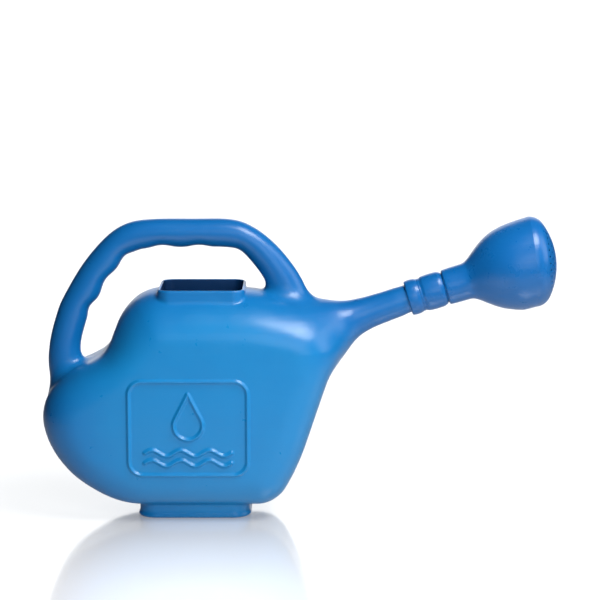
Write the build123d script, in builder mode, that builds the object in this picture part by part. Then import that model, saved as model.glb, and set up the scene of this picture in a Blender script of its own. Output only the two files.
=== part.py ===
"""Blow-moulded garden watering can: one hollow moulding with its handle and spout, and a swivelling rose.

Frame: +Z up, +X towards the spout, Y across. The origin is the centre of the foot, on the ground.
All lengths are in millimetres.
"""

from build123d import *

import os
from math import acos, atan2, cos, degrees, pi, radians, sin, sqrt

os.makedirs("parts", exist_ok=True)

# ---------------------------------------------------------------- driving dimensions
WALL = 2.5  # wall of the blow moulding

FOOT_LENGTH, FOOT_WIDTH, FOOT_TOP = 132.0, 94.0, 19.0
FOOT_CORNER = 20.0
FOOT_EDGE = 3.0
FOOT_RECESS = 3.0  # push-up of the floor inside the standing rim
FOOT_RIM, FOOT_RIB = 9.0, 12.0
recess_width = FOOT_WIDTH / 2 - FOOT_RIM - FOOT_RIB / 2
recess_y = (FOOT_RIB + recess_width) / 2

MOUTH_CENTRE_X = 9.5
MOUTH_LENGTH, MOUTH_WIDTH = 103.0, 95.0
MOUTH_ROOT, MOUTH_TOP = 242.0, 276.5
MOUTH_CORNER = 14.0
MOUTH_WALL = 3.2
MOUTH_ROUND = 1.4  # rounding of the rim

HANDLE_DEPTH, HANDLE_WIDTH = 34.4, 35.0
GRIP_RADIUS, GRIP_DEPTH = 52.0, 2.8  # finger scallops: shallow rounded hollows across the grip

SPOUT_TILT = 16.8
SEAT_X, SEAT_Z = 256.0, 258.8  # point on the spout's axis where the open end of the rose collar sits
TIP_RADIUS = 16.6
TIP_WALL = 2.2
TIP_LENGTH = 42.0  # how far the spout goes into the collar

TANK_CUT = 178.0  # level where the lower tank and the shoulder are split
REAR_CUT, FRONT_CUT = -62.0, 100.0  # where the shoulder is split, behind and in front of the mouth
SPOUT_CUT_X, SPOUT_CUT_Z = 186.0, 237.7  # point on the plane where the spout is split from the tank

FIT = 0.08  # radial gap of the push fit and of the swivel
COLLAR_SHOULDER = 42.6  # inner step of the collar, just beyond the end of the spout
COLLAR_END = 62.0
COLLAR_PASSAGE = 14.6
COLLAR_RADIUS = 21.2
TAIL_RADIUS = 17.95
SNAP_BEAD = 0.8
NECK_START = 46.8
NECK_END = 72.0
NECK_RADIUS = 21.4
BELL_RADIUS = 53.3
BELL_WALL = 1.6
RIM_AT = 154.5
FACE_TILT = 11.0  # the perforated face looks this much lower than the rose's axis
FACE_RISE = 28.8
FACE_WALL = 1.6
FACE_RADIUS = 53.3
FACE_EDGE = 20.0  # rounding between the face's rim and its crown
edge_centre = FACE_RADIUS - FACE_EDGE
CROWN_RADIUS = (edge_centre**2 + FACE_RISE**2 - FACE_EDGE**2) / (2 * (FACE_RISE - FACE_EDGE))
crown_turn = degrees(atan2(edge_centre, CROWN_RADIUS - FACE_RISE))
SKIRT_RADIUS, SKIRT_DEPTH = 49.9, 5.0
skirt_top = sqrt(FACE_EDGE**2 - (SKIRT_RADIUS - edge_centre) ** 2) - FACE_WALL / 4
HOLE_RADIUS = 1.0
HOLE_PITCH = 8.0
HOLE_RINGS = [42.0, 34.0, 26.0, 18.0, 10.0]

EMBLEM_X, EMBLEM_Z = -5.0, 116.5
EMBLEM_LENGTH, EMBLEM_HEIGHT = 144.0, 117.0
EMBLEM_CORNER = 18.0
EMBLEM_BEAD = 4.5
EMBLEM_FACE = 78.2  # how far out the raised emblem reaches
DROP_Z, DROP_RADIUS = 120.0, 19.0  # the drop's round belly
DROP_TIP = 42.0  # height of its tip over the belly's centre
drop_angle = degrees(acos(DROP_RADIUS / DROP_TIP))
WAVE_LEVELS = [87.0, 75.0]
WAVE_LENGTH, WAVE_COUNT, WAVE_SWING = 34.0, 3, 3.5

# Level sections of the tank, from its underside to its ridge:
# height, rearmost x, foremost x, half width, rear corner radius, front corner radius.
TANK_SECTIONS = [
    (14.5, -70, 72, 46, 24, 24),
    (18.5, -80, 86, 56, 30, 28),
    (27, -106, 101, 64, 38, 34),
    (38, -127.5, 110, 70, 44, 38),
    (56, -149, 120.5, 74.5, 50, 42),
    (82, -169, 131, 76.5, 54, 44),
    (110, -179, 140.5, 77, 56, 44),
    (135, -179, 148.5, 77, 56, 44),
    (156, -170.5, 155.5, 76.5, 54, 44),
    (172, -151.5, 160.5, 76, 50, 44),
    (184, -127, 163, 76, 46, 44),
    (196, -109, 164, 76, 44, 46),
    (212, -98.5, 162.5, 75.5, 42, 48),
    (230, -91.5, 156, 72, 40, 50),
    (245, -84, 145, 63.5, 38, 48),
    (257, -73.5, 127, 52, 34, 44),
    (265, -61, 103, 39, 28, 34),
    (270, -49, 78, 24, 20, 20),
]

# Oval sections of the spout: x and z of the centre, upward tilt, half height, half width.
SPOUT_SECTIONS = [
    (126, 203, 31, 38, 39),
    (160, 219.5, 27, 33, 33),
    (185, 231, 23, 24.2, 24.4),
    (206, 240.4, 20, 19.4, 19.4),
    (230, 249.6, 18, 18.0, 18.0),
]

# Middle line of the handle, x and z, from the rear of the tank over the top to the root of the spout.
HANDLE_PATH = [
    (-140, 140),
    (-152.5, 172),
    (-156, 204),
    (-149.5, 234),
    (-131, 273.5),
    (-96, 319),
    (-52, 337.4),
    (0, 338.3),
    (43, 336.8),
    (78, 319),
    (105, 289),
    (118.5, 256),
    (122, 228),
]

# Side view of the handle's share of the moulding, x and z: cuts through both roots part it from the tank.
HANDLE_OUTLINE = [
    (-200, TANK_CUT),
    (-136, TANK_CUT),
    (-128, 203),
    (-108, 262),
    (-108, 277.5),
    (170, 277.5),
    (170, 380),
    (-200, 380),
]

# Centres of the finger scallops on the inner side of the handle, x and z on the handle's surface,
# with the direction in which the surface faces.
GRIPS = [
    (-129.5, 247.5, -25),
    (-110.5, 281, -35),
    (-84, 307.5, -55),
    (-36, 321, -90),
    (10, 321, -90),
]


# ---------------------------------------------------------------- volumes of the can, each shrunk by an inset
def tank_volume(inset):
    low, high = TANK_SECTIONS[0][0], TANK_SECTIONS[-1][0]
    shrink = (high - low - 2 * inset) / (high - low)
    with BuildPart() as tank:
        for z, rear, front, half, rear_corner, front_corner in TANK_SECTIONS:
            with BuildSketch(Plane.XY.offset(low + inset + (z - low) * shrink)) as section:
                with Locations(((front + rear) / 2, 0)):
                    Rectangle(front - rear - 2 * inset, 2 * (half - inset))
                fillet(section.vertices().group_by(Axis.X)[0], rear_corner - inset)
                fillet(section.vertices().group_by(Axis.X)[-1], front_corner - inset)
        loft()
    return tank.part


def foot_volume(inset, floor):
    with BuildPart() as foot:
        with BuildSketch(Plane.XY.offset(floor)):
            RectangleRounded(FOOT_LENGTH - 2 * inset, FOOT_WIDTH - 2 * inset, FOOT_CORNER - inset)
        extrude(amount=FOOT_TOP - floor)
        fillet(foot.faces().sort_by(Axis.Z)[0].edges(), FOOT_EDGE - inset / 2)
    return foot.part


def handle_volume(inset):
    with BuildPart() as handle:
        with BuildLine() as path:
            Spline([(x, 0, z) for x, z in HANDLE_PATH])
        start = Plane(origin=path.line @ 0, x_dir=(0, 1, 0), z_dir=path.line % 0)
        with BuildSketch(start):
            Ellipse(HANDLE_WIDTH / 2 - inset, HANDLE_DEPTH / 2 - inset)
        sweep(path=path.line)
        for x, z, facing in GRIPS:
            away = GRIP_RADIUS - GRIP_DEPTH
            centre = (x + away * cos(radians(facing)), 0, z + away * sin(radians(facing)))
            with Locations(centre):
                Cylinder(GRIP_RADIUS + inset, 60, rotation=(90, 0, 0), mode=Mode.SUBTRACT)
    return handle.part


spout_axis = Vector(cos(radians(SPOUT_TILT)), 0, sin(radians(SPOUT_TILT)))
seat = Vector(SEAT_X, 0, SEAT_Z)


def spout_volume(inset):
    with BuildPart() as spout:
        for x, z, tilt, half_height, half_width in SPOUT_SECTIONS:
            along = (cos(radians(tilt)), 0, sin(radians(tilt)))
            with BuildSketch(Plane(origin=(x, 0, z), x_dir=(0, 1, 0), z_dir=along)):
                Ellipse(half_width - inset, half_height - inset)
        with BuildSketch(Plane(origin=seat, x_dir=(0, 1, 0), z_dir=spout_axis)):
            Circle(TIP_RADIUS - inset)
        loft()
    return spout.part


def tip_volume(radius, length):
    with BuildPart() as tip:
        with BuildSketch(Plane(origin=seat, x_dir=(0, 1, 0), z_dir=spout_axis)):
            Circle(radius)
        extrude(amount=length)
    return tip.part


# ------------------------------------------------------------ can: tank, foot, mouth, handle and spout in one
with BuildPart() as can:
    add(tank_volume(0))
    add(foot_volume(0, 0))
    add(handle_volume(0))
    add(spout_volume(0))
    add(tip_volume(TIP_RADIUS, TIP_LENGTH))
    with BuildSketch(Plane.XY.offset(MOUTH_ROOT)):
        with Locations((MOUTH_CENTRE_X, 0)):
            RectangleRounded(MOUTH_LENGTH, MOUTH_WIDTH, MOUTH_CORNER)
    extrude(amount=MOUTH_TOP - MOUTH_ROOT)
    # The raised emblem on both sides, run through the tank before it is hollowed:
    # a frame round a drop over waves.
    with BuildSketch(Plane.XZ):
        with Locations((EMBLEM_X, EMBLEM_Z)):
            RectangleRounded(EMBLEM_LENGTH, EMBLEM_HEIGHT, EMBLEM_CORNER)
            RectangleRounded(
                EMBLEM_LENGTH - 2 * EMBLEM_BEAD,
                EMBLEM_HEIGHT - 2 * EMBLEM_BEAD,
                EMBLEM_CORNER - EMBLEM_BEAD,
                mode=Mode.SUBTRACT,
            )
        for share, mode in ((1, Mode.ADD), (1 - EMBLEM_BEAD / DROP_RADIUS, Mode.SUBTRACT)):
            with BuildLine():
                belly = CenterArc(
                    (EMBLEM_X, DROP_Z),
                    share * DROP_RADIUS,
                    90 + drop_angle,
                    360 - 2 * drop_angle,
                )
                Polyline(belly @ 1, (EMBLEM_X, DROP_Z + share * DROP_TIP), belly @ 0)
            make_face(mode=mode)
        for level in WAVE_LEVELS:
            start = EMBLEM_X - WAVE_LENGTH * WAVE_COUNT / 2
            with BuildLine():
                Spline(
                    [
                        (start + k * WAVE_LENGTH / 4, level + WAVE_SWING * sin(k * pi / 2))
                        for k in range(4 * WAVE_COUNT + 1)
                    ]
                )
            trace(line_width=EMBLEM_BEAD)
    extrude(amount=EMBLEM_FACE, both=True)
    # The hollow inside.
    add(tank_volume(WALL), mode=Mode.SUBTRACT)
    add(foot_volume(WALL, FOOT_RECESS + WALL), mode=Mode.SUBTRACT)
    add(handle_volume(WALL), mode=Mode.SUBTRACT)
    add(spout_volume(TIP_WALL), mode=Mode.SUBTRACT)
    add(tip_volume(TIP_RADIUS - TIP_WALL, TIP_LENGTH + 1), mode=Mode.SUBTRACT)
    with BuildSketch(Plane.XY.offset(MOUTH_ROOT - WALL)):
        with Locations((MOUTH_CENTRE_X, 0)):
            RectangleRounded(
                MOUTH_LENGTH - 2 * MOUTH_WALL,
                MOUTH_WIDTH - 2 * MOUTH_WALL,
                MOUTH_CORNER - MOUTH_WALL,
            )
    extrude(amount=MOUTH_TOP - MOUTH_ROOT + 2 * WALL, mode=Mode.SUBTRACT)
    fillet(can.faces().filter_by(Axis.Z).sort_by(Axis.Z)[-1].edges(), MOUTH_ROUND)
    # The underside of the foot: a standing rim and the rib along the mould's pinch-off,
    # with a recess on each side of the rib.
    with BuildSketch(Plane.XY):
        with Locations((0, recess_y), (0, -recess_y)):
            RectangleRounded(FOOT_LENGTH - 2 * FOOT_RIM, recess_width, FOOT_CORNER - FOOT_RIM)
    extrude(amount=FOOT_RECESS, mode=Mode.SUBTRACT)

# ------------------------------------------------------------ the moulding's six nodes, meeting face to face
spout_cut = Plane(origin=(SPOUT_CUT_X, 0, SPOUT_CUT_Z), x_dir=(0, 1, 0), z_dir=spout_axis)

with BuildPart() as handle_share:
    with BuildSketch(Plane.XZ):
        with BuildLine():
            Polyline(*HANDLE_OUTLINE, close=True)
        make_face()
    extrude(amount=HANDLE_WIDTH, both=True)

with BuildPart() as can_spout:
    add(can.part)
    split(bisect_by=spout_cut, keep=Keep.TOP)
can_spout.part.label = "can_spout"
export_step(can_spout.part, "parts/can_spout.step")

with BuildPart() as can_handle:
    add(can.part)
    split(bisect_by=spout_cut, keep=Keep.BOTTOM)
    add(handle_share.part, mode=Mode.INTERSECT)
can_handle.part.label = "can_handle"
export_step(can_handle.part, "parts/can_handle.step")

with BuildPart() as tank_upper:
    add(can.part)
    split(bisect_by=spout_cut, keep=Keep.BOTTOM)
    add(handle_share.part, mode=Mode.SUBTRACT)
    split(bisect_by=Plane.XY.offset(TANK_CUT), keep=Keep.TOP)

with BuildPart() as shoulder_rear:
    add(tank_upper.part)
    split(bisect_by=Plane.YZ.offset(REAR_CUT), keep=Keep.BOTTOM)
shoulder_rear.part.label = "shoulder_rear"
export_step(shoulder_rear.part, "parts/shoulder_rear.step")

with BuildPart() as shoulder_mouth:
    add(tank_upper.part)
    split(bisect_by=Plane.YZ.offset(REAR_CUT), keep=Keep.TOP)
    split(bisect_by=Plane.YZ.offset(FRONT_CUT), keep=Keep.BOTTOM)
shoulder_mouth.part.label = "shoulder_mouth"
export_step(shoulder_mouth.part, "parts/shoulder_mouth.step")

with BuildPart() as shoulder_front:
    add(tank_upper.part)
    split(bisect_by=Plane.YZ.offset(FRONT_CUT), keep=Keep.TOP)
shoulder_front.part.label = "shoulder_front"
export_step(shoulder_front.part, "parts/shoulder_front.step")

with BuildPart() as tank_lower:
    add(can.part)
    split(bisect_by=Plane.XY.offset(TANK_CUT), keep=Keep.BOTTOM)
tank_lower.part.label = "tank_lower"
export_step(tank_lower.part, "parts/tank_lower.step")

# ---------------------------------------------------------------- rose: collar, bell and perforated face
# Profiles are drawn with distance along the rose's axis first and radius second.
rose_line = Axis(seat, spout_axis)
rose_profile = Plane(origin=seat, x_dir=spout_axis, z_dir=(0, -1, 0))

with BuildPart() as rose_collar:
    with BuildSketch(rose_profile):
        with BuildLine():
            Polyline(
                (0, TIP_RADIUS + FIT),
                (0, COLLAR_RADIUS - 0.8),
                (0.8, COLLAR_RADIUS),
                (12.6, COLLAR_RADIUS),
                (14.0, COLLAR_RADIUS - 0.8),
                (15.0, COLLAR_RADIUS - 1.9),
                (18.6, COLLAR_RADIUS - 1.9),
                (19.6, COLLAR_RADIUS - 0.8),
                (20.8, COLLAR_RADIUS),
                (39.6, COLLAR_RADIUS),
                (41.2, COLLAR_RADIUS - 1.0),
                (42.8, TAIL_RADIUS),
                (COLLAR_END - 3.2, TAIL_RADIUS),
                (COLLAR_END - 2.4, TAIL_RADIUS + SNAP_BEAD),
                (COLLAR_END - 1.6, TAIL_RADIUS + SNAP_BEAD),
                (COLLAR_END, TAIL_RADIUS - 0.6),
                (COLLAR_END, COLLAR_PASSAGE),
                (COLLAR_SHOULDER, COLLAR_PASSAGE),
                (COLLAR_SHOULDER, TIP_RADIUS + FIT),
                close=True,
            )
        make_face()
    revolve(axis=rose_line)
rose_collar.part.label = "rose_collar"
export_step(rose_collar.part, "parts/rose_collar.step")

face_centre = seat + spout_axis * RIM_AT
face_angle = radians(SPOUT_TILT - FACE_TILT)
face_normal = Vector(cos(face_angle), 0, sin(face_angle))
face_plane = Plane(origin=face_centre, x_dir=(0, 1, 0), z_dir=face_normal)
face_profile = Plane(origin=face_centre, x_dir=face_normal, z_dir=(0, -1, 0))
face_line = Axis(face_centre, face_normal)

neck_bore = TAIL_RADIUS + FIT
with BuildPart() as rose_bell:
    with BuildSketch(rose_profile):
        with BuildLine():
            flare = Spline(
                (NECK_END, NECK_RADIUS),
                (82, 26.2),
                (90, 32.4),
                (100, 39.8),
                (112, 46.4),
                (124, 50.9),
                (138, 53.0),
                (RIM_AT + 12, BELL_RADIUS),
                tangents=((1, 0.2), (1, 0)),
            )
            bore = Spline(
                (RIM_AT + 12, BELL_RADIUS - BELL_WALL),
                (138, 53.0 - BELL_WALL),
                (124.5, 50.9 - BELL_WALL),
                (112.8, 46.4 - BELL_WALL),
                (101.2, 39.8 - BELL_WALL),
                (91.6, 32.4 - BELL_WALL),
                (83.4, 26.2 - BELL_WALL),
                (NECK_END + 1, NECK_RADIUS - BELL_WALL),
                tangents=((-1, 0), (-1, -0.2)),
            )
            Line(flare @ 1, bore @ 0)
            Polyline(
                bore @ 1,
                (COLLAR_END - 3.6, NECK_RADIUS - BELL_WALL),
                (COLLAR_END - 3.6, neck_bore),
                (NECK_START, neck_bore),
                (NECK_START, NECK_RADIUS - 1.0),
                (NECK_START + 0.8, NECK_RADIUS - 0.2),
                flare @ 0,
            )
        make_face()
    revolve(axis=rose_line)
    split(bisect_by=face_plane, keep=Keep.BOTTOM)
rose_bell.part.label = "rose_bell"
export_step(rose_bell.part, "parts/rose_bell.step")

with BuildPart() as rose_face:
    with BuildSketch(face_profile):
        with BuildLine():
            crown = CenterArc((FACE_RISE - CROWN_RADIUS, 0), CROWN_RADIUS, 0, crown_turn)
            rim = CenterArc((0, FACE_RADIUS - FACE_EDGE), FACE_EDGE, crown_turn, 90 - crown_turn)
            Polyline(rim @ 1, (0, 0), crown @ 0)
        make_face()
    revolve(axis=face_line)
    base = rose_face.faces().filter_by(GeomType.PLANE)[0]
    offset(amount=-FACE_WALL, openings=base)
    with BuildSketch(face_plane.offset(-SKIRT_DEPTH)):
        Circle(SKIRT_RADIUS)
        Circle(SKIRT_RADIUS - FACE_WALL, mode=Mode.SUBTRACT)
    extrude(amount=SKIRT_DEPTH + skirt_top)
    with BuildSketch(face_plane):
        Circle(HOLE_RADIUS)
        for ring in HOLE_RINGS:
            with PolarLocations(ring, round(2 * pi * ring / HOLE_PITCH)):
                Circle(HOLE_RADIUS)
    extrude(amount=FACE_RISE + 1, mode=Mode.SUBTRACT)
rose_face.part.label = "rose_face"
export_step(rose_face.part, "parts/rose_face.step")
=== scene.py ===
"""Looks of the blow-moulded watering can: its shell, the rose, their plastic, the floor and the light.

Shapes are worked out in millimetres in the can's own frame (+Z up, +X towards the spout, origin under
the foot) and turned into metres when a mesh is made.
"""

from math import acos, ceil, cos, pi, radians, sin

import bmesh
import bpy
import numpy as np
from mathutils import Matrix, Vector
from mathutils.geometry import delaunay_2d_cdt


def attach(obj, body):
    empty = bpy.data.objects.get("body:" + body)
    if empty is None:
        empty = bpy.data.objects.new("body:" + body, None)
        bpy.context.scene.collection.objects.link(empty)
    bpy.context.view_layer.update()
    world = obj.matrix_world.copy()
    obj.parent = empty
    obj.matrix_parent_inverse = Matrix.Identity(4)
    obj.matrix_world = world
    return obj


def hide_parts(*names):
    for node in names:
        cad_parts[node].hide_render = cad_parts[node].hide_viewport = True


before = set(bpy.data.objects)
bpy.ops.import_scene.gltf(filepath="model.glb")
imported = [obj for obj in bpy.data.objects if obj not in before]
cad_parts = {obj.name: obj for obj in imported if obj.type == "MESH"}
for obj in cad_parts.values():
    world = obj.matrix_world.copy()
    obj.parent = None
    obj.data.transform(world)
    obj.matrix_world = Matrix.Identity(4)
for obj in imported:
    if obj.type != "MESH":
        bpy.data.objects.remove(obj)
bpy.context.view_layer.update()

MM = 0.001


# ------------------------------------------------ small tools for curves and fields
def smooth_line(points, closed=False, per_span=14):
    """A Catmull-Rom line through points (any number of columns)."""
    points = np.array(points, float)
    if closed:
        padded = np.vstack([points[-1:], points, points[:2]])
    else:
        padded = np.vstack([2 * points[0] - points[1], points, 2 * points[-1] - points[-2]])
    t = np.linspace(0, 1, per_span, endpoint=False)[:, None]
    spans = []
    for a, b, c, d in zip(padded[:-3], padded[1:-2], padded[2:-1], padded[3:]):
        square, cube = 2 * a - 5 * b + 4 * c - d, 3 * b - a - 3 * c + d
        spans.append(0.5 * (2 * b + (c - a) * t + square * t**2 + cube * t**3))
    line = np.vstack(spans)
    return line if closed else np.vstack([line, points[-1:]])


def rounded(value, blend):
    """How much a smooth union or cut adds where two fields differ by value."""
    return np.maximum(blend - np.abs(value), 0) ** 2 / (4 * blend)


def join(a, b, blend):
    """Union of two fields with a fillet."""
    return np.minimum(a, b) - rounded(a - b, blend)


def cut(a, b, blend):
    """Field a without field b, the edge rounded."""
    return np.maximum(a, -b) + rounded(a + b, blend)


def box_field(across, along, half_across, half_along, corner):
    """Distance to a flat rectangle with rounded corners."""
    a = np.abs(across) - half_across + corner
    b = np.abs(along) - half_along + corner
    return np.hypot(np.maximum(a, 0), np.maximum(b, 0)) + np.minimum(np.maximum(a, b), 0) - corner


def solid_field(flat, height, half_height, edge):
    """A flat shape's field drawn out to a slab, its edges rounded by edge."""
    a = flat + edge
    b = np.abs(height) - half_height + edge
    return np.hypot(np.maximum(a, 0), np.maximum(b, 0)) + np.minimum(np.maximum(a, b), 0) - edge


class SideMap:
    """Values on a fine grid over the can's side view (x, z), read between the grid's points."""

    def __init__(self, low, high, step):
        self.low, self.step = np.array(low, float), step
        self.size = np.ceil((np.array(high) - low) / step).astype(int) + 1
        x = low[0] + step * np.arange(self.size[0])
        z = low[1] + step * np.arange(self.size[1])
        self.x, self.z = (g.ravel() for g in np.meshgrid(x, z, indexing="ij"))

    def store(self, values):
        return values.reshape(self.size)

    def read(self, values, x, z):
        u = np.clip((x - self.low[0]) / self.step, 0, self.size[0] - 1.001)
        v = np.clip((z - self.low[1]) / self.step, 0, self.size[1] - 1.001)
        i, j = u.astype(int), v.astype(int)
        u, v = u - i, v - j
        near = values[i, j] * (1 - v) + values[i, j + 1] * v
        far = values[i + 1, j] * (1 - v) + values[i + 1, j + 1] * v
        return near * (1 - u) + far * u


def nearest_on(line, x, z, chunk=20000):
    """For points (x, z): distance to a line, how far along it that is, and the side (left is positive)."""
    start, step = line[:-1, :2], np.diff(line[:, :2], axis=0)
    length = np.hypot(step[:, 0], step[:, 1])
    run = np.concatenate([[0], np.cumsum(length)])
    found = []
    for k in range(0, len(x), chunk):
        dx = x[k : k + chunk, None] - start[None, :, 0]
        dz = z[k : k + chunk, None] - start[None, :, 1]
        t = np.clip((dx * step[:, 0] + dz * step[:, 1]) / length**2, 0, 1)
        ex, ez = dx - t * step[:, 0], dz - t * step[:, 1]
        distance = ex**2 + ez**2
        best = distance.argmin(axis=1)
        rows = np.arange(len(best))
        side = step[best, 0] * dz[rows, best] - step[best, 1] * dx[rows, best]
        passed = run[best] + t[rows, best] * length[best]
        found.append(np.stack([np.sqrt(distance[rows, best]), passed, np.sign(side)]))
    return np.hstack(found)


# ------------------------------------------------ the can's shape
# Outline of the tank in side view, clockwise from the underside: x, z.
TANK_OUTLINE = [
    (0, 16.2), (-40, 16.2), (-76, 17.4), (-105.5, 26.6), (-138, 45.6), (-158.5, 65.8), (-172, 87.5),
    (-179.5, 110), (-180, 130), (-173, 150), (-159, 167), (-141, 179), (-124, 187), (-109.5, 196),
    (-101, 208), (-95.5, 222), (-88.8, 238), (-78, 253), (-64, 264.5), (-44, 271), (-10, 272), (30, 272),
    (70, 270.5), (105, 264), (135, 254), (157, 239), (169, 220), (172.5, 203), (168, 185), (159, 163.5),
    (145.5, 124), (132.5, 85), (124.5, 65), (116, 47.2), (104, 28.5), (85.5, 17.6), (60, 16.2),
]  # fmt: skip
TANK_HALF_WIDTH = 77.0
EDGE_POWER = 2.35  # 2 gives round edges; more lets them run out softly into the flat sides

# Middle line of the handle: x, z, half depth to the outside, half depth to the finger side, half width.
HANDLE_LINE = [
    (-148, 150, 23, 24, 22), (-156.5, 178, 20, 21.5, 19), (-157, 205, 17.5, 19.6, 17.5),
    (-150.5, 233, 16.7, 19.6, 17.3), (-142, 253, 17.1, 19.2, 17.3), (-119.5, 290, 17.5, 18.6, 17.3),
    (-97, 320, 15.4, 18.8, 17.3), (-76, 334, 16.1, 18.6, 17.3), (-50, 338.8, 16, 18.4, 17.3),
    (0, 339.6, 15.7, 18.2, 17.3), (42, 338.4, 16.3, 17.4, 17.3), (64, 332, 14.9, 17.2, 17.3),
    (84, 315, 16.1, 19, 17.3), (100, 293, 18.6, 19.4, 17.6), (110, 272, 21.6, 21.5, 18.5),
    (116, 250, 24, 24, 21), (118, 232, 26, 26, 24),
]  # fmt: skip

# Middle line of the spout: x, z, radius.
SPOUT_LINE = [
    (96, 196, 42), (122, 208, 38), (145, 217, 34), (166, 225.4, 29.8), (186.5, 233.6, 23.6),
    (206.3, 241.2, 19.6), (228.3, 248.9, 18.1), (244, 254.5, 17.6), (256, 258.8, 16.8), (301, 272.4, 16.5),
]  # fmt: skip

FOOT_CENTRE_Z, FOOT_HALF = 10.0, (66.0, 47.0, 10.0)
FOOT_CORNER = 20.0
FOOT_BEAD_Z, FOOT_BEAD = 2.6, 1.6
RECESS_Y, RECESS_HALF, RECESS_CORNER, RECESS_DEPTH = 22.0, (57.0, 16.0), 11.0, 3.0
MOUTH_X, MOUTH_TOP = 9.5, 275.6
MOUTH_HALF = (51.5, 47.5)
MOUTH_CORNER = 15.0
MOUTH_WALL = 3.2
POCKET_FLOOR = 253.0
MOUTH_PRISM_TOP = 300.0
WALL = 2.8
SPOUT_BLEND, HANDLE_BLEND = 34.0, 15.0  # how softly each runs into the tank
# Finger scallops on the handle: x and z of the deepest point, reach each way along the handle, depth.
SCALLOPS = [
    (-127, 248.6, 17, 3.2), (-108.7, 280.3, 21, 3.2), (-83, 310, 21, 2.2), (-37, 324, 22, 2.6),
    (8, 324, 20, 2.4),
]  # fmt: skip

SEAT = np.array([256.0, 0.0, 258.8])
SPOUT_TILT = radians(16.8)
ALONG = np.array([cos(SPOUT_TILT), 0, sin(SPOUT_TILT)])
TIP_LENGTH, TIP_BORE = 42.0, 14.4

side = SideMap((-205, -10), (315, 372), 1.0)


def tank_map():
    """Signed distance to the tank's outline, negative inside."""
    outline = smooth_line(TANK_OUTLINE, closed=True, per_span=7)
    outline = np.vstack([outline, outline[:1]])
    distance, _, left = nearest_on(outline, side.x, side.z)
    return side.store(distance * left)


def bar_maps(line_points, per_span=8):
    """A bar's middle line, distance to it, its side (outside is positive), run along it and sizes."""
    line = smooth_line(line_points, per_span=per_span)
    distance, run, left = nearest_on(line, side.x, side.z)
    steps = np.concatenate([[0], np.cumsum(np.hypot(*np.diff(line[:, :2], axis=0).T))])
    sizes = [side.store(np.interp(run, steps, line[:, k])) for k in range(2, line.shape[1])]
    return line, steps, side.store(distance), side.store(left), side.store(run), sizes


tank_side = tank_map()
handle_line, handle_steps, handle_off, handle_side, handle_run, handle_sizes = bar_maps(HANDLE_LINE)
handle_outer, handle_inner, handle_width = handle_sizes
_, _, spout_off, _, _, (spout_radius,) = bar_maps(SPOUT_LINE)


def scallop_depth():
    """How much the finger scallops take off the handle's inner side."""
    depth = np.zeros_like(handle_run)
    for x, z, length, deepest in SCALLOPS:
        place = handle_steps[np.hypot(handle_line[:, 0] - x, handle_line[:, 1] - z).argmin()]
        reach = np.clip(np.abs(handle_run - place) / length, 0, 1)
        depth += deepest * np.cos(reach * pi / 2) ** 2
    return depth


handle_inner = handle_inner - scallop_depth()


# ------------------------------------------------ the emblem: a frame round a water drop over waves
EMBLEM_X, EMBLEM_Z = -5.0, 116.5
EMBLEM_HALF, EMBLEM_CORNER = (69.8, 56.2), 16.0
BEAD_HALF, BEAD_RISE = 3.5, 2.7
DROP_Z, DROP_RADIUS, DROP_TIP = 120.0, 17.0, 37.5  # belly's centre and radius, tip's height over it
WAVE_LEVELS = (87.0, 75.0)
WAVE_LENGTH, WAVE_COUNT, WAVE_SWING = 34.0, 3, 3.5
emblem = SideMap((EMBLEM_X - 80, EMBLEM_Z - 66), (EMBLEM_X + 80, EMBLEM_Z + 66), 0.5)


def drop_outline():
    """A round belly and two straight sides that run up from it to a tip."""
    turn = np.linspace(acos(DROP_RADIUS / DROP_TIP), 2 * pi - acos(DROP_RADIUS / DROP_TIP), 49)
    belly = DROP_RADIUS * np.stack([np.sin(turn), np.cos(turn)], 1)
    return np.vstack([[0, DROP_TIP], belly, [0, DROP_TIP]]) + (EMBLEM_X, DROP_Z)


def wave_outline(level):
    """One wave line across the emblem."""
    x = np.linspace(-0.5, 0.5, 97) * WAVE_LENGTH * WAVE_COUNT
    return np.stack([EMBLEM_X + x, level + WAVE_SWING * np.sin((x - x[0]) * 2 * pi / WAVE_LENGTH)], 1)


def emblem_map():
    """Height of the emblem's beads over the side face."""
    away = np.abs(box_field(emblem.x - EMBLEM_X, emblem.z - EMBLEM_Z, *EMBLEM_HALF, EMBLEM_CORNER))
    for stroke in [drop_outline(), *map(wave_outline, WAVE_LEVELS)]:
        away = np.minimum(away, nearest_on(stroke, emblem.x, emblem.z)[0])
    reach = np.clip(away / BEAD_HALF, 0, 1)
    return emblem.store(BEAD_RISE * np.cos(reach * pi / 2) ** 2)


emblem_height = emblem_map()


# ------------------------------------------------ the can as one field: negative inside the plastic
def step_between(low, high, value):
    """0 below low, 1 above high, with a soft run between."""
    t = np.clip((value - low) / (high - low), 0, 1)
    return t * t * (3 - 2 * t)


def tank_field(x, y, z):
    """The tank: its outline drawn out sideways, with slightly domed sides and wide soft edges."""
    edge = 43 + 31 * step_between(165, 262, z) + 6 * step_between(-100, -160, x)
    half = TANK_HALF_WIDTH - 2.0 * (((x + 5) / 165) ** 2 + ((z - 120) / 150) ** 2)
    a = side.read(tank_side, x, z) + edge
    b = np.abs(y) - half + edge
    corner = (np.maximum(a, 0) ** EDGE_POWER + np.maximum(b, 0) ** EDGE_POWER) ** (1 / EDGE_POWER)
    return corner + np.minimum(np.maximum(a, b), 0) - edge


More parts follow.
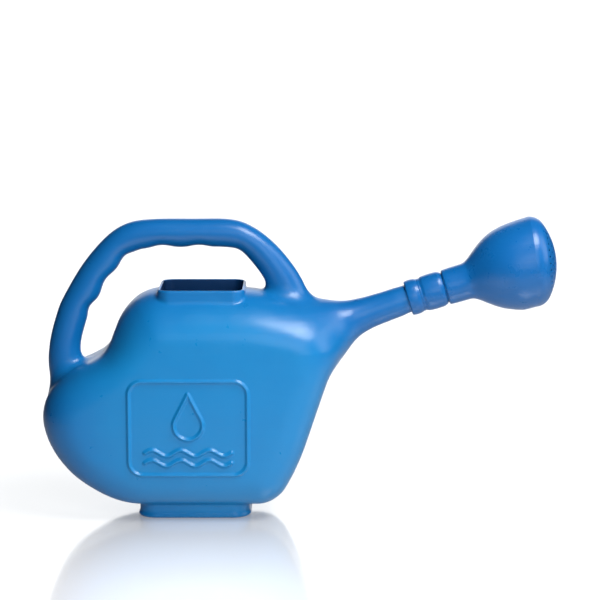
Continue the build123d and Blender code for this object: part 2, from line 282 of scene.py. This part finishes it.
def handle_field(x, y, z):
    """A bar of oval section along the handle's line, with its own depth on each side."""
    off = side.read(handle_off, x, z)
    inward = side.read(handle_side, x, z) < 0
    depth = np.where(inward, side.read(handle_inner, x, z), side.read(handle_outer, x, z))
    width = side.read(handle_width, x, z)
    near, slope = np.hypot(off / depth, y / width), np.hypot(off / depth**2, y / width**2)
    return near * (near - 1) / np.maximum(slope, 1e-6)


def spout_field(x, y, z):
    return np.hypot(side.read(spout_off, x, z), y) - side.read(spout_radius, x, z)


def outer_field(p, extra=0.0):
    """The moulding's outside with its mouth and tip open; extra narrows both openings."""
    x, y, z = p[:, 0], p[:, 1], p[:, 2]
    body = join(tank_field(x, y, z), spout_field(x, y, z), SPOUT_BLEND)
    body = join(body, handle_field(x, y, z), HANDLE_BLEND)
    collar = solid_field(box_field(x - MOUTH_X, y, *MOUTH_HALF, MOUTH_CORNER), z - MOUTH_TOP + 30, 30, 2.6)
    body = join(body, collar, 3)
    flare = FOOT_BEAD * np.exp(-(((z - FOOT_BEAD_Z) / 2.6) ** 2))
    foot = box_field(x, y, *FOOT_HALF[:2], FOOT_CORNER) - flare
    body = join(body, solid_field(foot, z - FOOT_CENTRE_Z, FOOT_HALF[2], 2.2), 4)
    recess = box_field(x, np.abs(y) - RECESS_Y, *RECESS_HALF, RECESS_CORNER)
    body = cut(body, np.maximum(recess, z - RECESS_DEPTH), 1.2)
    on_side = step_between(60, 72, np.abs(y))
    body = body - on_side * emblem.read(emblem_height, x, z)
    half_length, half_width = (half - MOUTH_WALL - extra for half in MOUTH_HALF)
    mouth = box_field(x - MOUTH_X, y, half_length, half_width, MOUTH_CORNER - MOUTH_WALL)
    body = cut(body, np.maximum.reduce([mouth, POCKET_FLOOR - z, z - MOUTH_PRISM_TOP]), 1.6)
    s = (x - SEAT[0]) * ALONG[0] + (z - SEAT[2]) * ALONG[2]
    body = np.maximum(body, s - TIP_LENGTH)
    bore = np.hypot(side.read(spout_off, x, z), y) - TIP_BORE + 2 * extra
    return cut(body, np.maximum(bore, -20 - s), 0.8)


def cavity_field(p):
    """The hollow inside the tank and the spout."""
    x, y, z = p[:, 0], p[:, 1], p[:, 2]
    return join(tank_field(x, y, z), spout_field(x, y, z), SPOUT_BLEND) + WALL


# ------------------------------------------------ meshing a field
def surface_net(field, low, step, counts):
    """Quads along the surface where a field changes sign, one point in each grid cell that it crosses."""
    axes = [low[k] + step * np.arange(counts[k]) for k in range(3)]
    values = np.empty(counts)
    for i, x in enumerate(axes[0]):
        y, z = (g.ravel() for g in np.meshgrid(axes[1], axes[2], indexing="ij"))
        values[i] = field(np.stack([np.full_like(y, x), y, z], 1)).reshape(counts[1:])
    cells = np.array(counts) - 1
    total, hits = np.zeros((*cells, 3)), np.zeros(cells)
    crossed = []
    for axis in range(3):
        p, q = (axis + 1) % 3, (axis + 2) % 3
        first = np.take(values, range(cells[axis]), axis)
        second = np.take(values, range(1, counts[axis]), axis)
        changes = (first < 0) != (second < 0)
        crossed.append((changes, first < 0))
        where = np.where(changes, first / np.where(changes, first - second, 1), 0)
        for dp in (0, 1):
            for dq in (0, 1):
                window = [slice(None)] * 3
                window[p], window[q] = slice(dp, dp + cells[p]), slice(dq, dq + cells[q])
                seen = changes[tuple(window)]
                hits += seen
                total[..., axis] += where[tuple(window)]
                total[..., p] += seen * dp
                total[..., q] += seen * dq
    used = hits > 0
    index = np.full(cells, -1)
    index[used] = np.arange(used.sum())
    points = (np.argwhere(used) + total[used] / hits[used][:, None]) * step + low
    quads = []
    for axis, (changes, rising) in enumerate(crossed):
        p, q = (axis + 1) % 3, (axis + 2) % 3
        at = np.argwhere(changes)
        at = at[(at[:, p] > 0) & (at[:, q] > 0) & (at[:, p] < cells[p]) & (at[:, q] < cells[q])]
        corners = []
        for dp, dq in ((1, 1), (0, 1), (0, 0), (1, 0)):
            cell = at.copy()
            cell[:, p] -= dp
            cell[:, q] -= dq
            corners.append(index[tuple(cell.T)])
        ring = np.stack(corners, 1)
        outward = rising[tuple(at.T)]
        quads.append(np.where(outward[:, None], ring, ring[:, ::-1]))
    return points, np.vstack(quads)


def slopes(field, points, reach):
    """The field's slope along x, y and z at each point."""
    found = np.empty_like(points)
    for axis in range(3):
        ahead = np.zeros(3)
        ahead[axis] = reach
        found[:, axis] = (field(points + ahead) - field(points - ahead)) / (2 * reach)
    return found


def settle(field, points, rounds=3, reach=0.5, stride=1.5):
    """Moves points onto the surface along the field's slope."""
    for _ in range(rounds):
        slope = slopes(field, points, reach)
        move = slope * (field(points) / np.maximum((slope**2).sum(1), 0.05))[:, None]
        length = np.maximum(np.linalg.norm(move, axis=1, keepdims=True), 1e-9)
        points = points - move * np.minimum(1, stride / length)
    return points


def even_out(points, faces, share=0.5):
    """Draws each point towards the middle of its neighbours."""
    total, count = np.zeros_like(points), np.zeros(len(points))
    for k in range(faces.shape[1]):
        a, b = faces[:, k], faces[:, (k + 1) % faces.shape[1]]
        for one, other in ((a, b), (b, a)):
            np.add.at(total, one, points[other])
            np.add.at(count, one, 1)
    return points * (1 - share) + share * total / np.maximum(count, 1)[:, None]


def new_mesh_object(name, points, faces, normals=None):
    """A smooth-shaded object from points in millimetres, with the given normals or its own."""
    mesh = bpy.data.meshes.new(name)
    mesh.from_pydata((np.asarray(points) * MM).tolist(), [], [tuple(int(i) for i in f) for f in faces])
    mesh.validate()
    mesh.shade_smooth()
    if normals is None:
        mesh.set_sharp_from_angle(angle=radians(35))
    else:
        mesh.normals_split_custom_set_from_vertices([tuple(n) for n in normals])
    obj = bpy.data.objects.new(name, mesh)
    bpy.context.scene.collection.objects.link(obj)
    return obj


def clean_quads(points, quads):
    """Drops points that no quad uses."""
    used = np.unique(quads)
    renumber = np.full(len(points), -1)
    renumber[used] = np.arange(len(used))
    return points[used], renumber[quads]


def refine(points, faces, close):
    """Divides the faces near a detail in two each way; close says which points are near."""
    mesh = bpy.data.meshes.new("refine")
    mesh.from_pydata(points.tolist(), [], [tuple(int(i) for i in f) for f in faces])
    bm = bmesh.new()
    bm.from_mesh(mesh)
    bpy.data.meshes.remove(mesh)
    near = close(points)
    edges = [e for e in bm.edges if near[e.verts[0].index] and near[e.verts[1].index]]
    bmesh.ops.subdivide_edges(bm, edges=edges, cuts=1, use_grid_fill=True)
    bm.verts.index_update()
    points = np.array([v.co[:] for v in bm.verts])
    faces = [[v.index for v in f.verts] for f in bm.faces]
    bm.free()
    return points, faces


# ------------------------------------------------ the can's pieces
GRID_STEP = 99.8 / 38  # puts grid planes in the middle of the mouth's walls


def near_rim(points, reach=5.0, down=7.0):
    """Which points are near the mouth's lip."""
    flat = box_field(points[:, 0] - MOUTH_X, points[:, 1], *MOUTH_HALF, MOUTH_CORNER)
    return (np.abs(flat + MOUTH_WALL / 2) < reach) & (points[:, 2] > MOUTH_TOP - down)


def on_rim(points):
    return near_rim(points, 3.4, 3.4)


def near_emblem(points, reach=4.0, least=0.01):
    """Which points are on the emblem's beads or within reach of them."""
    on_side = np.abs(points[:, 1]) > 66
    height = sum(
        emblem.read(emblem_height, points[:, 0] + dx, points[:, 2] + dz)
        for dx, dz in ((0, 0), (reach, 0), (-reach, 0), (0, reach), (0, -reach))
    )
    return on_side & (height > least)


def on_emblem(points):
    return near_emblem(points, 0.6, 1.2)


def near_foot_edge(points):
    """Which points are near the foot's lower edge or the edges of its recesses."""
    x, y = points[:, 0], np.abs(points[:, 1])
    edge = box_field(x, y, *FOOT_HALF[:2], FOOT_CORNER)
    recess = box_field(x, y - RECESS_Y, *RECESS_HALF, RECESS_CORNER)
    return (points[:, 2] < 6) & ((np.abs(edge) < 6) | (np.abs(recess) < 3.5))


def shell_piece():
    """The moulding's outside with the mouth's and the spout's inner walls, open into the hollow."""
    low = np.array([MOUTH_X - 49.9 - GRID_STEP * 61, -17.5 * GRID_STEP - GRID_STEP * 14, -6.0])
    high = (306, -low[1] + GRID_STEP, 362)
    counts = [int(ceil((end - start) / GRID_STEP)) for start, end in zip(low, high)]

    def narrowed(p):
        return outer_field(p, 1.8)

    points, quads = surface_net(narrowed, low, GRID_STEP, counts)
    points = settle(narrowed, points, 2)
    for _ in range(3):
        points = settle(outer_field, even_out(points, quads), 2)
    middle = points[quads].mean(1)
    mouth = box_field(middle[:, 0] - MOUTH_X, middle[:, 1], *MOUTH_HALF, MOUTH_CORNER)
    floor = (np.abs(middle[:, 2] - POCKET_FLOOR) < 1.2) & (mouth < -4)
    points, quads = clean_quads(points, quads[~floor])
    faces = quads
    for close in (near_rim, near_emblem, near_foot_edge, on_rim, on_emblem):
        points, faces = refine(points, faces, close)
        points = settle(outer_field, points, 3, reach=0.3)
    normals = slopes(outer_field, points, 0.6)
    normals /= np.linalg.norm(normals, axis=1, keepdims=True)
    made = new_mesh_object("can_shell", points, faces, normals)
    # the mouth's inner walls take the second material, a painted shade
    for polygon in made.data.polygons:
        x, y, z = polygon.center / MM
        in_mouth = box_field(x - MOUTH_X, y, *MOUTH_HALF, MOUTH_CORNER) < -MOUTH_WALL + 0.3
        polygon.material_index = int(in_mouth and 230 < z < MOUTH_TOP - 0.9)
    return made


def cavity_piece():
    """The inside wall of the tank, seen through the mouth."""
    step = 5.0
    points, quads = surface_net(cavity_field, np.array([-200.0, -85, 0]), step, [76, 35, 60])
    points = settle(cavity_field, points, 2)
    points = settle(cavity_field, even_out(points, quads), 2)
    middle = points[quads].mean(1)
    mouth = box_field(middle[:, 0] - MOUTH_X, middle[:, 1], *MOUTH_HALF, MOUTH_CORNER)
    under_mouth = (middle[:, 2] > POCKET_FLOOR - 6) & (mouth < -1)
    points, quads = clean_quads(points, quads[~under_mouth])
    normals = slopes(cavity_field, points, 1.0)
    normals /= np.linalg.norm(normals, axis=1, keepdims=True)
    return new_mesh_object("can_inside", points, quads[:, ::-1], -normals)


shell = shell_piece()
inside = cavity_piece()

# ------------------------------------------------ the rose
UP = np.array([-sin(SPOUT_TILT), 0, cos(SPOUT_TILT)])
ACROSS = np.array([0.0, 1.0, 0.0])
AROUND = 144


def arc_corners(corners, steps=5):
    """A profile whose corners (s, r, radius) are rounded."""
    line = []
    around = zip([corners[0]] + corners[:-1], corners, corners[1:] + [corners[-1]])
    for before, (s, r, radius), after in around:
        here = np.array([s, r], float)
        back, ahead = np.array(before[:2]) - here, np.array(after[:2]) - here
        if radius == 0 or not back.any() or not ahead.any():
            line.append(here)
            continue
        back, ahead = back / np.hypot(*back), ahead / np.hypot(*ahead)
        for t in np.linspace(0, 1, steps):
            line.append(here + radius * ((1 - t) ** 2 * back + t**2 * ahead))
    return np.array(line)


def turned(name, profile, place, around=AROUND):
    """A closed ring of quads: place(s, r, angle) puts each point of the profile."""
    angles = np.linspace(0, 2 * pi, around, endpoint=False)
    points = np.vstack([place(s, r, angles) for s, r in profile])
    faces = []
    for i in range(len(profile) - 1):
        a = i * around + np.arange(around)
        b = i * around + np.roll(np.arange(around), -1)
        faces.append(np.stack([a, b, b + around, a + around], 1))
    return new_mesh_object(name, points, np.vstack(faces))


def on_rose_axis(s, r, angle):
    """Points at distance s along the rose's axis from the seat and r away from it."""
    radial = np.cos(angle)[:, None] * UP + np.sin(angle)[:, None] * ACROSS
    return SEAT + s * ALONG + r * radial


# The collar's profile: distance along the axis, radius, rounding.
COLLAR_PROFILE = [
    (42.4, 16.9, 0), (3, 16.9, 0), (0, 17.4, 0.4), (0, 19.5, 0.6), (0.8, 20.9, 0.9), (6.4, 21.7, 3),
    (12.2, 21.0, 1.4), (14.2, 20.0, 0.8), (15.8, 19.6, 0.5), (16.5, 20.1, 0.3), (17.4, 19.6, 0.5),
    (19.2, 20.0, 0.8), (21.0, 21.2, 1.4), (30, 21.8, 5), (40.2, 21.4, 1.6), (42.8, 20.4, 0.9),
    (44.8, 19.4, 0.6), (45.4, 18.1, 0.4), (58.5, 17.95, 0.4), (59.4, 18.6, 0.3), (60.4, 18.6, 0.3),
    (62, 17.3, 0.4), (62, 14.6, 0.4), (42.4, 14.6, 0), (42.4, 16.9, 0),
]  # fmt: skip
RIM_AT, RIM_RADIUS, BELL_WALL = 154.5, 53.3, 1.8
FACE_TILT = radians(11)
FACE_NORMAL = cos(FACE_TILT) * ALONG - sin(FACE_TILT) * UP
FACE_UP = cos(FACE_TILT) * UP + sin(FACE_TILT) * ALONG
FACE_CENTRE = SEAT + RIM_AT * ALONG
BELL_LINE = [
    (72, 21.9), (77, 23.2), (83, 27), (90, 32.6), (98, 38.6), (106, 43.6), (114, 47.3), (122, 50.1),
    (131, 52.1), (142, 53.1), (154.5, 53.3),
]  # fmt: skip
SKEW_FROM = 112.0


def on_bell(s, r, angle):
    """As on_rose_axis, but the last stretch leans so that the bell ends on the face's plane."""
    end = RIM_AT + r * np.tan(FACE_TILT) * np.cos(angle)
    share = np.clip((s - SKEW_FROM) / (RIM_AT - SKEW_FROM), 0, 1)
    reach = s + (end - RIM_AT) * share * share * (3 - 2 * share)
    radial = np.cos(angle)[:, None] * UP + np.sin(angle)[:, None] * ACROSS
    return SEAT + np.outer(reach, ALONG) + r * radial


def bell_piece():
    """The bell with its neck, as one closed skin."""
    neck = arc_corners([
        (60, 18.2, 0), (46.8, 18.2, 0), (46.2, 19.6, 0.6), (47.8, 21.3, 1.0), (56, 21.7, 3), (72, 21.9, 0),
    ])  # fmt: skip
    outside = smooth_line(BELL_LINE, per_span=7)
    inside_line = [(s + 0.6, r - BELL_WALL) for s, r in outside[::-1]]
    rim = [(RIM_AT, RIM_RADIUS), (RIM_AT, RIM_RADIUS - 0.4), (RIM_AT, RIM_RADIUS - BELL_WALL)]
    profile = np.vstack([neck[:-1], outside[:-1], rim, inside_line[1:], [(60, 18.2)]])
    return turned("rose_bell_shell", profile, on_bell)


FACE_RISE, FACE_EDGE = 28.8, 20.0
FACE_SKIN = 1.6
HOLE_RADIUS, HOLE_PITCH = 1.4, 8.0
HOLE_DIMPLE = 0.22
HOLE_RINGS = [42.0, 34.0, 26.0, 18.0, 10.0]


def face_height(radius):
    """Height of the face over its rim: a round crown, rounded down to the rim by FACE_EDGE."""
    middle = RIM_RADIUS - FACE_EDGE
    crown = (middle**2 + FACE_RISE**2 - FACE_EDGE**2) / (2 * (FACE_RISE - FACE_EDGE))
    joint = middle * crown / (crown - FACE_EDGE)
    on_crown = np.sqrt(np.maximum(crown**2 - radius**2, 0)) - crown + FACE_RISE
    on_edge = np.sqrt(np.maximum(FACE_EDGE**2 - (radius - middle) ** 2, 0))
    return np.where(radius < joint, on_crown, on_edge)


def dome(points):
    """Places flat points of the face on its dome."""
    radius = np.hypot(points[:, 0], points[:, 1])
    height = face_height(radius)
    lean = 1 + (1 / cos(FACE_TILT) - 1) * step_between(40, 53, radius)
    return (
        FACE_CENTRE
        + np.outer(points[:, 0] * lean, FACE_UP)
        + np.outer(points[:, 1], ACROSS)
        + np.outer(height, FACE_NORMAL)
    )


def hole_centres():
    """Where the spray holes are on the flat face, in rings around one in the middle."""
    places = [(0.0, 0.0)]
    for ring in HOLE_RINGS:
        count = round(2 * pi * ring / HOLE_PITCH)
        places += [(ring * cos(2 * pi * k / count), ring * sin(2 * pi * k / count)) for k in range(count)]
    return places


def face_piece():
    """The perforated dome: one skin of triangles with round holes, each hole with its own wall."""
    around_hole = np.linspace(0, 2 * pi, 12, endpoint=False)
    flat, loops = [], []
    for cx, cy in hole_centres():
        for radius in (HOLE_RADIUS, HOLE_RADIUS + 0.45):
            loops.append(list(range(len(flat), len(flat) + 12)))
            flat += [(cx + radius * cos(a), cy + radius * sin(a)) for a in around_hole]
    centres = np.array(hole_centres())
    for radius in np.arange(2.5, 45, 2.5):
        count = max(8, round(2 * pi * radius / 2.6))
        for k in range(count):
            spot = (radius * cos(2 * pi * k / count), radius * sin(2 * pi * k / count))
            if np.hypot(*(centres - spot).T).min() > 2.3:
                flat.append(spot)
    rim_rings = [46.0, 47.6, 49.0, 50.2, 51.2, 52.0, 52.6, 53.0, 53.2, RIM_RADIUS]
    turns = [2 * pi * k / AROUND for k in range(AROUND)]
    for radius in rim_rings:
        loops.append(list(range(len(flat), len(flat) + AROUND)))
        flat += [(radius * cos(turn), radius * sin(turn)) for turn in turns]
    edges = [(loop[k], loop[(k + 1) % len(loop)]) for loop in loops for k in range(len(loop))]
    made = delaunay_2d_cdt([Vector(p) for p in flat], edges, [], 0, 1e-6)
    spots = np.array([v[:] for v in made[0]])
    faces = np.array([f for f in made[2] if len(f) == 3])
    middle = spots[faces].mean(1)

    def hole_gap(places):
        away = places[:, None] - centres[None]
        return np.hypot(away[..., 0], away[..., 1]).min(1)

    faces = faces[hole_gap(middle) > HOLE_RADIUS * 0.97]
    outer = dome(spots)
    outer -= np.outer(HOLE_DIMPLE * (hole_gap(spots) < HOLE_RADIUS * 1.05), FACE_NORMAL)
    inner = dome(spots * (1 - FACE_SKIN / RIM_RADIUS)) - FACE_SKIN * FACE_NORMAL
    count = len(spots)
    boundary = {}
    for face in faces:
        for k in range(3):
            a, b = int(face[k]), int(face[(k + 1) % 3])
            if (b, a) in boundary:
                del boundary[(b, a)]
            else:
                boundary[(a, b)] = True
    walls = [(b, a, a + count, b + count) for a, b in boundary]
    all_faces = [tuple(f) for f in faces] + [tuple(f[::-1] + count) for f in faces] + walls
    return new_mesh_object("rose_face_plate", np.vstack([outer, inner]), all_faces)


collar = turned("rose_collar_sleeve", arc_corners(COLLAR_PROFILE), on_rose_axis)
bell = bell_piece()
face = face_piece()


# ------------------------------------------------ plastic
class Nodes:
    """Adds and links shader nodes in a few words."""

    def __init__(self, name):
        self.material = bpy.data.materials.new(name)
        self.material.use_nodes = True
        self.tree = self.material.node_tree
        self.tree.nodes.clear()
        self.output = self.add("ShaderNodeOutputMaterial")

    def add(self, kind, **settings):
        node = self.tree.nodes.new(kind)
        for key, value in settings.items():
            if hasattr(node, key) and key not in node.inputs:
                setattr(node, key, value)
            else:
                self.feed(node.inputs[key], value)
        return node

    def feed(self, socket, value):
        if isinstance(value, bpy.types.NodeSocket):
            self.tree.links.new(value, socket)
        else:
            socket.default_value = value

    def noise(self, where, scale, detail=3.0, roughness=0.5, **more):
        node = self.add("ShaderNodeTexNoise", **more)
        self.feed(node.inputs["Vector"], where)
        node.inputs["Scale"].default_value = scale
        node.inputs["Detail"].default_value = detail
        node.inputs["Roughness"].default_value = roughness
        return node.outputs["Fac"]

    def ramp(self, value, stops):
        node = self.add("ShaderNodeValToRGB")
        self.feed(node.inputs["Fac"], value)
        elements = node.color_ramp.elements
        for element, (place, colour) in zip(elements, stops):
            element.position, element.color = place, colour
        for place, colour in stops[2:]:
            elements.new(place).color = colour
        return node.outputs["Color"]

    def span(self, value, low, high, new_low, new_high):
        node = self.add("ShaderNodeMapRange")
        numbers = ("From Min", low), ("From Max", high), ("To Min", new_low), ("To Max", new_high)
        for key, number in numbers:
            node.inputs[key].default_value = number
        self.feed(node.inputs["Value"], value)
        return node.outputs["Result"]

    def stretched(self, where, scale):
        node = self.add("ShaderNodeMapping")
        self.feed(node.inputs["Vector"], where)
        node.inputs["Scale"].default_value = scale
        return node.outputs["Vector"]

    def bump(self, height, distance, strength=1.0, under=None):
        node = self.add("ShaderNodeBump")
        node.inputs["Strength"].default_value = strength
        node.inputs["Distance"].default_value = distance
        self.feed(node.inputs["Height"], height)
        if under is not None:
            self.feed(node.inputs["Normal"], under)
        return node.outputs["Normal"]


def parting_ridge(n, where):
    """The fine raised line that the mould's halves leave along the can's middle plane."""
    across = n.add("ShaderNodeSeparateXYZ")
    n.feed(across.inputs["Vector"], where)
    away = n.add("ShaderNodeMath", operation="ABSOLUTE")
    n.feed(away.inputs[0], across.outputs["Y"])
    return n.span(away.outputs["Value"], 0.0002, 0.0007, 1.0, 0.0)


def painted_glow(n, where):
    """Painted glow, as of light passing through the stretched wall: 1 in the middle of the tank's sides, 0
    at the handle and spout.
    """
    centred = n.add("ShaderNodeMapping")
    n.feed(centred.inputs["Vector"], where)
    centred.inputs["Location"].default_value = (-0.18, 0, -0.92)
    centred.inputs["Scale"].default_value = (6.0, 0, 7.2)
    away = n.add("ShaderNodeVectorMath", operation="LENGTH")
    n.feed(away.inputs[0], centred.outputs["Vector"])
    return n.span(away.outputs["Value"], 0.75, 1.25, 1.0, 0.0)


def plastic(name, deep_tone, pale_tone, rough, blown):
    """Moulded polyethylene: clouded colour, a wavy skin, faint draw lines, orange peel and scuffs.

    A blown wall gets a painted glow, paler in the middle of the tank's sides, and has a parting line; an
    injected one has neither.
    """
    n = Nodes(name)
    where = n.add("ShaderNodeTexCoord").outputs["Object"]
    cloud = n.noise(where, 14.0, 5.0, 0.6)
    shade = n.span(cloud, 0.3, 0.7, -0.12, 0.12)
    if blown:
        # painted glow: the middle of the tank's sides is coloured paler, as if lit through the wall
        both = n.add("ShaderNodeMath", operation="ADD")
        n.feed(both.inputs[0], shade)
        n.feed(both.inputs[1], painted_glow(n, where))
        shade = both.outputs["Value"]
    colour = n.ramp(shade, [(0.0, deep_tone), (1.0, pale_tone)])
    scuffs = n.noise(n.stretched(where, (260, 40, 90)), 1.0, 3.0, 0.6)
    polish = n.noise(where, 55.0, 5.0, 0.65)
    skin = n.bump(n.noise(where, 30.0, 2.0), 0.0010, 0.30)
    skin = n.bump(n.noise(n.stretched(where, (4, 4, 300)), 1.0, 3.0), 0.00026, 0.5, skin)
    skin = n.bump(n.noise(where, 700.0, 1.0), 0.00002, 0.4, skin)
    skin = n.bump(n.span(scuffs, 0.50, 0.90, 0.0, 1.0), 0.00004, 0.1, skin)
    if blown:
        skin = n.bump(parting_ridge(n, where), 0.0004, 0.6, skin)
    shader = n.add("ShaderNodeBsdfPrincipled")
    n.feed(shader.inputs["Base Color"], colour)
    n.feed(shader.inputs["Roughness"], n.span(polish, 0.3, 0.7, rough - 0.04, rough + 0.06))
    shader.inputs["IOR"].default_value = 1.51
    n.feed(shader.inputs["Normal"], skin)
    n.feed(n.output.inputs["Surface"], shader.outputs["BSDF"])
    return n.material


# the can's pale tone is painted glow on the tank's sides; the rose's two tones only cloud at random
can_plastic = plastic("can_plastic", (0.003, 0.116, 0.355, 1), (0.005, 0.186, 0.450, 1), 0.31, True)
rose_plastic = plastic("rose_plastic", (0.003, 0.108, 0.340, 1), (0.003, 0.130, 0.385, 1), 0.29, False)
# painted shade: the tank's inside and the mouth's inner walls are coloured near-black for the shadow in
# the hollow
painted_shade_inside = (0.001, 0.022, 0.085, 1), (0.001, 0.036, 0.130, 1)
inner_painted_shade = plastic("can_inner_painted_shade", *painted_shade_inside, 0.50, True)

CAN_NODES = (
    "tank_lower", "shoulder_rear", "shoulder_mouth", "shoulder_front", "can_handle", "can_spout",
)  # fmt: skip
shell.data.materials.append(can_plastic)
# second material: painted shade for the mouth's inner walls; can_inside wears it all over
shell.data.materials.append(inner_painted_shade)
inside.data.materials.append(inner_painted_shade)
for piece in (shell, inside):
    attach(piece, "can")
    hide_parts(*CAN_NODES)
ROSE_PIECES = (collar, "rose_collar", "collar"), (bell, "rose_bell", "rose"), (face, "rose_face", "rose")
for piece, node, body in ROSE_PIECES:
    piece.data.materials.append(rose_plastic)
    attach(piece, body)
    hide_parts(node)


# ------------------------------------------------ floor, light and camera
TABLE = (-1.1, 1.5, -0.85, 60.0)  # left, right, front and back edge


def floor_piece():
    """A pale glossy light table: it glows more in the foreground, where it washes out reflections."""
    left, right, front, back = TABLE
    mesh = bpy.data.meshes.new("floor")
    corners = [(left, front, 0), (right, front, 0), (right, back, 0), (left, back, 0)]
    mesh.from_pydata(corners, [], [(0, 1, 2, 3)])
    floor = bpy.data.objects.new("floor", mesh)
    bpy.context.scene.collection.objects.link(floor)
    n = Nodes("floor_gloss")
    where = n.add("ShaderNodeTexCoord").outputs["Object"]
    away = n.add("ShaderNodeVectorMath", operation="DISTANCE")
    n.feed(away.inputs[0], where)
    away.inputs[1].default_value = (0.02, -0.38, 0)
    shader = n.add("ShaderNodeBsdfPrincipled")
    shader.inputs["Base Color"].default_value = (0.46, 0.46, 0.46, 1)
    shader.inputs["IOR"].default_value = 2.0
    shader.inputs["Coat Weight"].default_value = 1.0
    shader.inputs["Coat Roughness"].default_value = 0.1
    shader.inputs["Emission Color"].default_value = (1, 0.99, 0.98, 1)
    glow = n.span(away.outputs["Value"], 0.06, 0.36, 0.80, 0.20)
    n.feed(shader.inputs["Emission Strength"], glow)
    n.feed(shader.inputs["Roughness"], n.span(n.noise(where, 2.0), 0.3, 0.7, 0.09, 0.13))
    n.feed(n.output.inputs["Surface"], shader.outputs["BSDF"])
    mesh.materials.append(n.material)


def area_light(name, place, aim, size, power, mirrored=True):
    """A soft box aimed at a point; one that is not mirrored only fills shadows and leaves no highlight."""
    data = bpy.data.lights.new(name, "AREA")
    data.shape, data.size, data.size_y, data.energy = "RECTANGLE", size[0], size[1], power
    light = bpy.data.objects.new(name, data)
    light.location = place
    light.rotation_euler = (Vector(aim) - Vector(place)).to_track_quat("-Z", "Y").to_euler()
    light.visible_glossy = mirrored
    bpy.context.scene.collection.objects.link(light)


# The studio's pale walls: direction, cosines where each begins and is full, brightness outside and in it.
WALLS = [((0.40, -0.91, 0.0), 0.0, 1.0, 0.03, 0.13), ((0, 0.98, 0.2), 0.90, 0.96, 0.0, 1.45)]


def world_light():
    """A dim room with a pale wall in front and to the right, and a white wall far behind the can."""
    world = bpy.data.worlds.new("studio")
    bpy.context.scene.world = world
    world.use_nodes = True
    tree = world.node_tree
    towards = tree.nodes.new("ShaderNodeTexCoord").outputs["Generated"]
    total = tree.nodes.new("ShaderNodeMath")
    for k, (lobe, low, high, dim, bright) in enumerate(WALLS):
        dot = tree.nodes.new("ShaderNodeVectorMath")
        dot.operation = "DOT_PRODUCT"
        dot.inputs[1].default_value = lobe
        tree.links.new(towards, dot.inputs[0])
        span = tree.nodes.new("ShaderNodeMapRange")
        span.interpolation_type = "SMOOTHSTEP"
        numbers = ("From Min", low), ("From Max", high), ("To Min", dim), ("To Max", bright)
        for key, number in numbers:
            span.inputs[key].default_value = number
        tree.links.new(dot.outputs["Value"], span.inputs["Value"])
        tree.links.new(span.outputs["Result"], total.inputs[k])
    seen = tree.nodes.new("ShaderNodeMath")
    seen.operation = "MAXIMUM"
    tree.links.new(total.outputs["Value"], seen.inputs[0])
    tree.links.new(tree.nodes.new("ShaderNodeLightPath").outputs["Is Camera Ray"], seen.inputs[1])
    tree.links.new(seen.outputs["Value"], tree.nodes["Background"].inputs["Strength"])
    tree.nodes["Background"].inputs["Color"].default_value = (0.96, 0.98, 1.0, 1)


def camera():
    """A long lens, a little above the can and square to its side."""
    data = bpy.data.cameras.new("camera")
    data.lens, data.sensor_width = 120, 36
    eye = bpy.data.objects.new("camera", data)
    target = Vector((0.1265, 0, 0.257))
    pitch = radians(9.4)
    eye.location = target + 2.4 * Vector((0, -cos(pitch), sin(pitch)))
    eye.rotation_euler = (target - eye.location).to_track_quat("-Z", "Y").to_euler()
    bpy.context.scene.collection.objects.link(eye)
    bpy.context.scene.camera = eye


floor_piece()
world_light()
area_light("softbox", (0.74, -0.60, 1.54), (0.1, 0, 0.22), (0.80, 0.65), 24)
area_light("side_wall", (1.62, -0.20, 0.92), (0.1, 0, 0.22), (1.0, 1.0), 7)
area_light("front_box", (0.50, -1.60, 0.74), (0.1, 0, 0.22), (0.90, 0.90), 22.5, mirrored=False)
area_light("back_box", (0.10, 1.70, 1.00), (0.1, 0, 0.22), (1.10, 1.10), 13, mirrored=False)
camera()
bpy.context.scene.view_settings.view_transform = "Standard"
